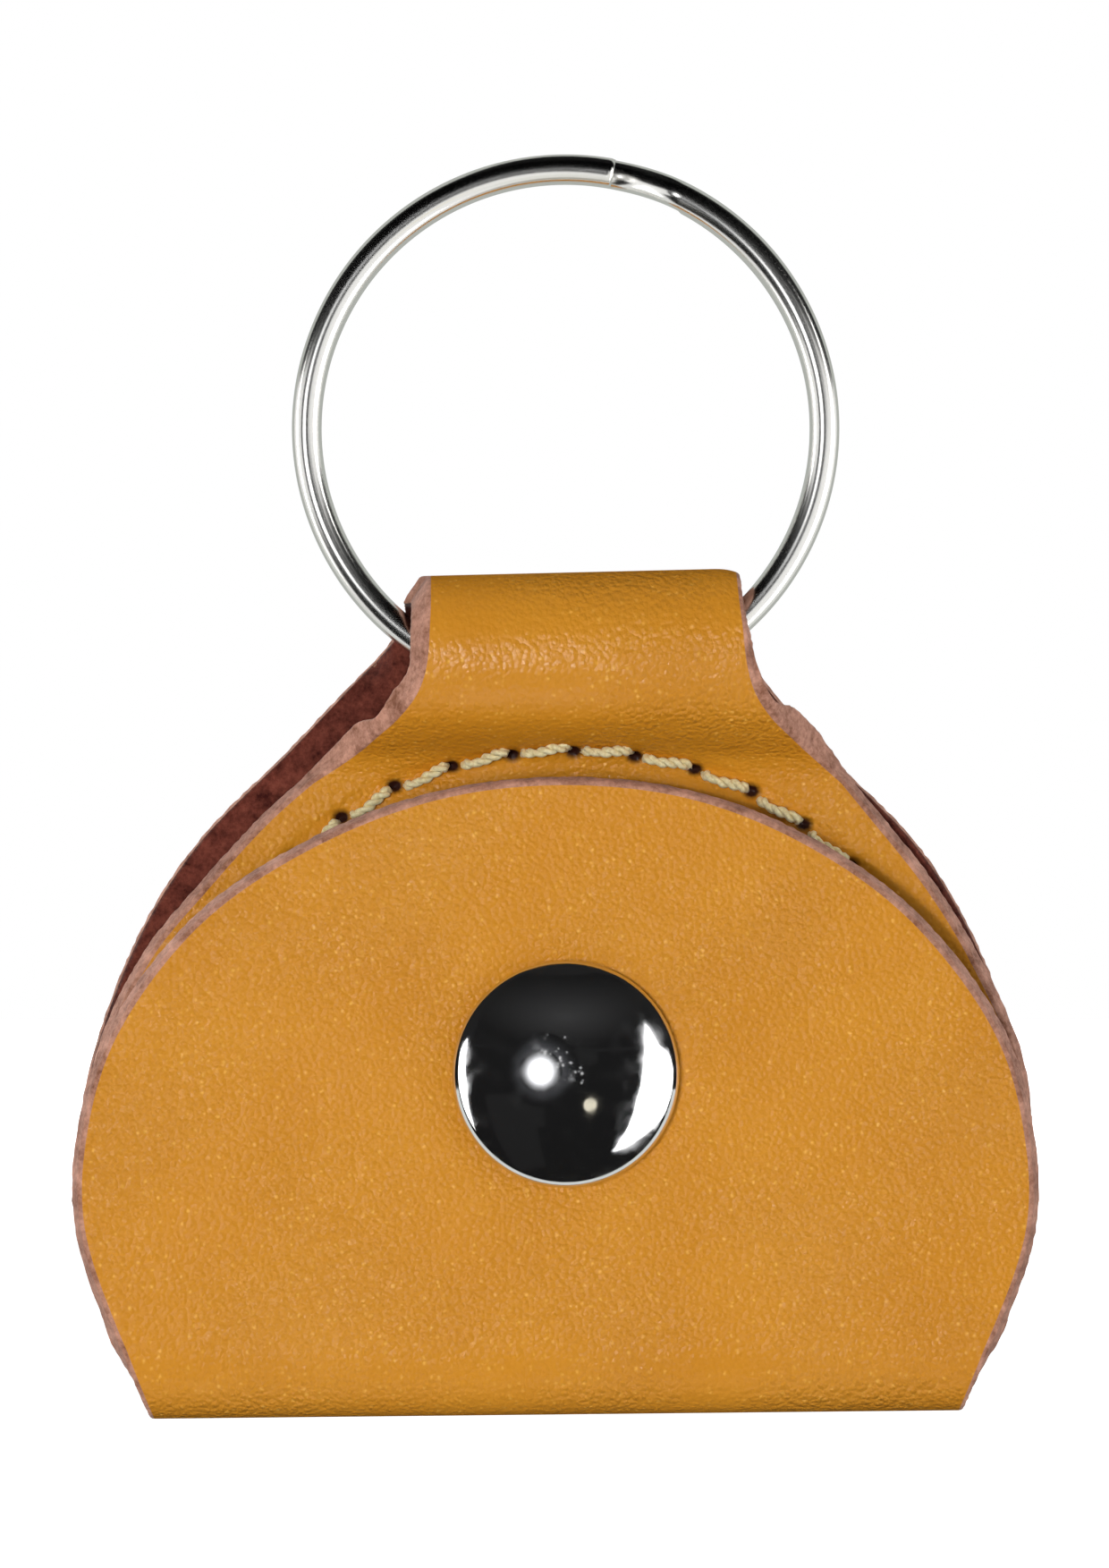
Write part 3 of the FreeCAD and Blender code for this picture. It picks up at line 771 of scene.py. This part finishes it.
def ring_mesh():
    """Two turns of wire, swept on their own centre line, with slightly rounded cut ends."""
    centre_z = (RING_LOW.z + RING_HIGH.z) / 2
    half_depth = (RING_HIGH.y - RING_LOW.y) / 2
    radial = WIRE_RADIAL / 2 * MM
    axial = (half_depth - TURN_GAP * MM) / 2
    radius = (RING_HIGH.z - RING_LOW.z) / 2 - radial
    sweep = REAR_END - 720 - FRONT_END
    verts, faces = [], []
    for i in range(RING_STEPS + 1):
        angle = FRONT_END + sweep * i / RING_STEPS
        crossed = min(max((angle - JOGGLE_START + 360) / (FRONT_END - JOGGLE_START), 0.0), 1.0)
        a = math.radians(angle)
        centre = Vector((radius * math.sin(a), -(half_depth - axial) * math.cos(math.pi * crossed),
                         centre_z + radius * math.cos(a)))
        outward = Vector((math.sin(a), 0, math.cos(a)))
        from_end = min(i, RING_STEPS - i) / RING_STEPS * math.radians(-sweep) * radius / MM
        section = math.sqrt(1 - 0.12 * max(0.0, 1 - from_end / END_WEAR) ** 2)
        for k in range(WIRE_SIDES):
            t = 2 * math.pi * k / WIRE_SIDES
            verts.append(centre + outward * (radial * section * math.cos(t))
                         + Vector((0, axial * section * math.sin(t), 0)))
        if i:
            base = (i - 1) * WIRE_SIDES
            for k in range(WIRE_SIDES):
                n = (k + 1) % WIRE_SIDES
                faces.append((base + k, base + n, base + WIRE_SIDES + n, base + WIRE_SIDES + k))
    faces.append(tuple(reversed(range(WIRE_SIDES))))
    faces.append(tuple(RING_STEPS * WIRE_SIDES + k for k in range(WIRE_SIDES)))
    obj = solid_object("key_ring", verts, faces, RING_METAL)
    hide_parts("split_ring")
    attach(obj, "ring")
    return obj


ring = ring_mesh()


# ---------------------------------------------------------------- snap cap
CAP_RIM_H = 0.95           # height of the rim under the dome
CAP_DOME_INSET = 0.32      # how far inside the rim the dome ends
CAP_DOME_STEPS = 40
CAP_SIDES = 160


def cap_profile():
    """(r, y) from the dome's top to the lip rolled in under the rim; y runs forwards, in mm."""
    dome_edge = CAP_R - CAP_DOME_INSET
    rise = CAP_H - CAP_RIM_H
    dome_r = (dome_edge ** 2 + rise ** 2) / (2 * rise)
    limit = math.asin(dome_edge / dome_r)
    slopes = [limit * i / CAP_DOME_STEPS for i in range(CAP_DOME_STEPS + 1)]
    dome = [(dome_r * math.sin(a), CAP_H - dome_r * (1 - math.cos(a))) for a in slopes]
    bevel = [(CAP_R - 0.24, 0.88), (CAP_R - 0.16, 0.805), (CAP_R - 0.085, 0.72), (CAP_R - 0.03, 0.61)]
    roll = [(CAP_R, 0.46), (CAP_R - 0.01, 0.33), (CAP_R - 0.07, 0.18), (CAP_R - 0.18, 0.07),
            (CAP_R - 0.34, 0.02)]
    lip = [(5.1, 0.02), (5.1, 0.3), (5.3, 0.32)]
    return dome + bevel + roll + lip


def cap_mesh():
    centre_x = (CAP_LOW.x + CAP_HIGH.x) / 2
    centre_z = (CAP_LOW.z + CAP_HIGH.z) / 2
    profile, sides = cap_profile(), CAP_SIDES
    verts, faces = [Vector((centre_x, CAP_LOW.y, centre_z))], []
    for r, h in profile[1:]:
        for k in range(sides):
            a = 2 * math.pi * k / sides
            verts.append(Vector((centre_x + r * MM * math.cos(a), CAP_HIGH.y - h * MM,
                                 centre_z + r * MM * math.sin(a))))
    for k in range(sides):
        faces.append((0, 1 + k, 1 + (k + 1) % sides))
    for i in range(len(profile) - 2):
        base = 1 + i * sides
        for k in range(sides):
            n = (k + 1) % sides
            faces.append((base + k, base + sides + k, base + sides + n, base + n))
    obj = solid_object("snap_cap", verts, faces, CAP_METAL)
    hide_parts("cap_shell")
    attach(obj, "flap")
    return obj


cap = cap_mesh()

for name in ("cap_post", "socket_body", "socket_retainer", "socket_spring", "stud", "stud_post"):
    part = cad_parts[name]
    part.data.materials.clear()
    part.data.materials.append(SNAP_METAL)

# ---------------------------------------------------------------- studio
DISTANCE = 0.59
FRAME_HEIGHT = 0.086
AIM = Vector((-0.00061, 0, (34.6 + BASE_Z) * MM))


def direction(azimuth_deg, elevation_deg):
    """Azimuth 0 is straight in front of the holder, positive to its right as the camera sees it."""
    a, e = math.radians(azimuth_deg), math.radians(elevation_deg)
    return Vector((math.sin(a) * math.cos(e), -math.cos(a) * math.cos(e), math.sin(e)))


def emission(name, strength, colour=(1, 1, 1), soft=0.0):
    """A plain glow; with soft above 0 it fades from the lamp's middle to its rim, by that power."""
    material = bpy.data.materials.new(name)
    material.use_nodes = True
    tree = material.node_tree
    tree.nodes.clear()
    out = node(tree, "ShaderNodeOutputMaterial")
    if soft:
        place = node(tree, "ShaderNodeTexCoord").outputs["Generated"]
        centred = node(tree, "ShaderNodeMapping",
                       {"Vector": place, "Location": (-1, 0, -1), "Scale": (2, 0, 2)})
        fade = node(tree, "ShaderNodeTexGradient", {"Vector": centred.outputs[0]}, gradient_type="SPHERICAL")
        strength = math_node(tree, "MULTIPLY", math_node(tree, "POWER", fade.outputs["Fac"], soft), strength)
    glow = node(tree, "ShaderNodeEmission", {"Color": (*colour, 1), "Strength": strength})
    tree.links.new(glow.outputs[0], out.inputs[0])
    return material


def stage_surface(name, verts, faces, material, seen_by=("glossy",)):
    """A lamp face or wall that the camera never sees."""
    obj = solid_object(name, verts, faces, material)
    for ray in ("camera", "diffuse", "glossy", "transmission", "volume_scatter", "shadow"):
        setattr(obj, "visible_" + ray, ray in seen_by)
    return obj


def patch(name, azimuths, elevations, radius, material, receivers=None, steps=24):
    """Part of a sphere round the object, between two azimuths and two elevations."""
    verts, faces = [], []
    for i in range(steps + 1):
        for j in range(steps + 1):
            a = azimuths[0] + (azimuths[1] - azimuths[0]) * i / steps
            e = elevations[0] + (elevations[1] - elevations[0]) * j / steps
            verts.append(AIM + direction(a, e) * radius)
            if i and j:
                k = i * (steps + 1) + j
                faces.append((k, k - 1, k - steps - 2, k - steps - 1))
    obj = stage_surface(name, verts, faces, material)
    if receivers:
        lit_only(obj, receivers)
    return obj


def panel(name, corners, radius, material):
    """A flat lamp face with its corners in the given (azimuth, elevation) directions."""
    return stage_surface(name, [AIM + direction(a, e) * radius for a, e in corners],
                         [tuple(range(len(corners)))], material)


def round_lamp(name, azimuth, elevation, half_angle, radius, material):
    """A flat disc seen from the object under half_angle degrees."""
    around = [math.radians(18 * i) for i in range(20)]
    panel(name, [(azimuth + half_angle * math.cos(a), elevation + half_angle * math.sin(a)) for a in around],
          radius, material)


def hoop(name, off_axis, rolls, radius, material, steps=48):
    """A band round the viewing axis: angles away from the axis, and roll angles from the right upwards."""
    verts, faces = [], []
    for i in range(steps + 1):
        roll = math.radians(rolls[0] + (rolls[1] - rolls[0]) * i / steps)
        for angle in off_axis:
            off = math.radians(angle)
            verts.append(AIM + Vector((math.sin(off) * math.cos(roll), -math.cos(off),
                                       math.sin(off) * math.sin(roll))) * radius)
        if i:
            faces.append((2 * i, 2 * i + 1, 2 * i - 1, 2 * i - 2))
    stage_surface(name, verts, faces, material)


def lit_only(source, receivers):
    """Let a lamp or a glowing surface reach only these objects."""
    group = bpy.data.collections.new(source.name + "_receivers")
    for obj in receivers:
        group.objects.link(obj)
    source.light_linking.receiver_collection = group


def area_light(name, azimuth, elevation, distance, size, power, receivers=None):
    """A square lamp aimed at the object; without receivers it lights everything but glints nowhere."""
    data = bpy.data.lights.new(name, "AREA")
    data.energy = power
    data.size = size
    lamp = bpy.data.objects.new(name, data)
    bpy.context.scene.collection.objects.link(lamp)
    lamp.location = AIM + direction(azimuth, elevation) * distance
    lamp.rotation_euler = (AIM - lamp.location).to_track_quat("-Z", "Y").to_euler()
    lamp.visible_glossy = receivers is not None
    if receivers:
        lit_only(lamp, receivers)


FLOOR_HALF = 6.0
FLOOR_DROP = 0.11          # metres from the holder down to the floor


def white_world():
    world = bpy.data.worlds.new("studio")
    bpy.context.scene.world = world
    world.use_nodes = True
    back = world.node_tree.nodes["Background"]
    back.inputs[0].default_value = (1, 1, 1, 1)
    back.inputs[1].default_value = 1.0


def pale_floor():
    """A plain floor that the camera sees but that casts no colour on the object."""
    z, half = BASE_Z * MM - FLOOR_DROP, FLOOR_HALF
    mesh = bpy.data.meshes.new("floor")
    corners = [(-half, -half, z), (half, -half, z), (half, half, z), (-half, half, z)]
    mesh.from_pydata(corners, [], [(0, 1, 2, 3)])
    pale, _, shader = new_material("floor_pale")
    shader.inputs["Base Color"].default_value = (0.9, 0.9, 0.9, 1)
    shader.inputs["Roughness"].default_value = 0.9
    shader.inputs["Emission Color"].default_value = (1, 1, 1, 1)
    shader.inputs["Emission Strength"].default_value = 0.85
    mesh.materials.append(pale)
    floor = bpy.data.objects.new("floor", mesh)
    bpy.context.scene.collection.objects.link(floor)
    floor.visible_glossy = False
    floor.visible_diffuse = False


# Everything that glows has its own radius. A nearer surface hides a farther one, even from objects
# that its own light doesn't reach, so the lamps are nearest and the dark room is behind them.
AROUND = (-180, 180)
UP_AND_DOWN = (-89.9, 89.9)
RING_ROOM = (      # what only the ring mirrors: name, azimuths, elevations, strength, colour
    ("ring_front", (-14, 20), (-34, 5), 0.95, (1, 1, 1)),
    ("ring_front_left", (-30, -14), (-12, 5), 0.40, (1, 0.97, 0.97)),
    ("ring_below", (-20, 22), (-60, -34), 0.85, (1, 1, 0.96)),
    ("ring_left", (-100, -30), (-13, 13), 0.95, (1, 1, 1)),
    ("ring_left_low", (-100, -52), (-60, -13), 0.85, (1, 1, 1)),
    ("ring_right", (20, 100), (-60, 12), 0.95, (1, 1, 1)),
    ("ring_back", (100, 260), (-60, 70), 0.50, (0.96, 1, 0.95)),
    ("ring_table", AROUND, (-82, -60), 0.45, (1, 0.97, 0.86)))
RIGHT_PANEL = ((55.5, 26.6), (49.3, 2.3), (46.6, -13.2), (44.3, -32.7), (39.9, -48),
               (48.6, -44), (68.1, -23.4), (74.4, -11.5), (73.0, 2.5), (61.0, 13.5))
LEFT_PANEL = ((-66, 16.4), (-64.2, -9.3), (-66, -28.2), (-67.4, -31.8), (-71.9, -20),
              (-73.8, -3.4), (-74.9, 10.1))
SPARKLES = 40


def ambient_light():
    sphere = patch("ambient", AROUND, UP_AND_DOWN, 3.0, emission("ambient_glow", 0.27), None, 48)
    sphere.visible_glossy = False
    sphere.visible_diffuse = True


def mirrored_room():
    """What the polished metal mirrors: a dark room, with lamps and pale walls in it."""
    patch("dark_room", AROUND, UP_AND_DOWN, 1.7, emission("dark", 0.006), None, 48)
    for name, azimuths, elevations, strength, colour in RING_ROOM:
        patch(name, azimuths, elevations, 1.5, emission(name + "_glow", strength, colour), [ring])
    hoop("rim_light", (78, 93), (190, 350), 1.4, emission("rim_glow", 0.75, (0.97, 1, 0.96)))
    patch("sheen", (-62, 62), (14, 62), 1.6, emission("sheen_glow", 0.035, (1, 1, 1), 1.2), [cap])
    panel("right_panel", RIGHT_PANEL, 1.3, emission("right_glow", 4.0))
    panel("left_panel", LEFT_PANEL, 1.3, emission("left_glow", 4.0))
    round_lamp("flash_halo", -14.5, 1.0, 23.0, 1.45, emission("halo_glow", 0.45, (0.9, 0.92, 1), 2.4))
    round_lamp("camera_flash", -15.4, 0.0, 13.5, 1.24, emission("flash_glow", 9.0, (0.97, 0.98, 1), 2.4))
    round_lamp("small_lamp", 15.7, -20.4, 4.2, 1.24, emission("lamp_glow", 0.9, (1, 0.93, 0.72)))


def sparkles():
    """Fine glints in a slanting band across the cap."""
    glow = emission("sparkle_glow", 0.8)
    for i in range(SPARKLES):
        spread = random.uniform(0, 1)
        azimuth = random.gauss(-14 + 20 * spread, 4)
        elevation = random.gauss(17 - 20 * spread, 4.5)
        round_lamp("sparkle_%02d" % i, azimuth, elevation, random.uniform(0.3, 0.8), 1.19, glow)


def soft_lamps():
    area_light("key", -12, -6, 0.9, 0.34, 5.5)
    area_light("fill_below", 0, -62, 0.9, 0.40, 6.0)
    area_light("flash", -15.6, 1, 0.6, 0.03, 0.8, [flap, strap])
    area_light("fill_right", 60, -8, 0.9, 0.40, 1.7)
    area_light("top", 0, 80, 0.9, 0.40, 1.1)
    area_light("side_left", -104, 6, 0.9, 0.40, 2.6)
    area_light("side_right", 104, 6, 0.9, 0.40, 2.6)
    area_light("back_left", -150, 22, 0.9, 0.40, 3.6)
    area_light("back_right", 156, 12, 0.9, 0.40, 3.2)


def camera():
    data = bpy.data.cameras.new("view")
    data.sensor_fit = "VERTICAL"
    data.sensor_height = 24.0
    data.lens = 24.0 * DISTANCE / FRAME_HEIGHT
    data.clip_start = 0.01
    data.clip_end = 50
    data.dof.use_dof = False
    eye = bpy.data.objects.new("view", data)
    bpy.context.scene.collection.objects.link(eye)
    eye.location = AIM + direction(0, 0) * DISTANCE
    eye.rotation_euler = (AIM - eye.location).to_track_quat("-Z", "Y").to_euler()
    bpy.context.scene.camera = eye


white_world()
pale_floor()
ambient_light()
mirrored_room()
sparkles()
soft_lamps()
camera()
bpy.context.scene.view_settings.view_transform = "Standard"
bpy.context.scene.view_settings.look = "None"
bpy.context.scene.view_settings.exposure = 0.0
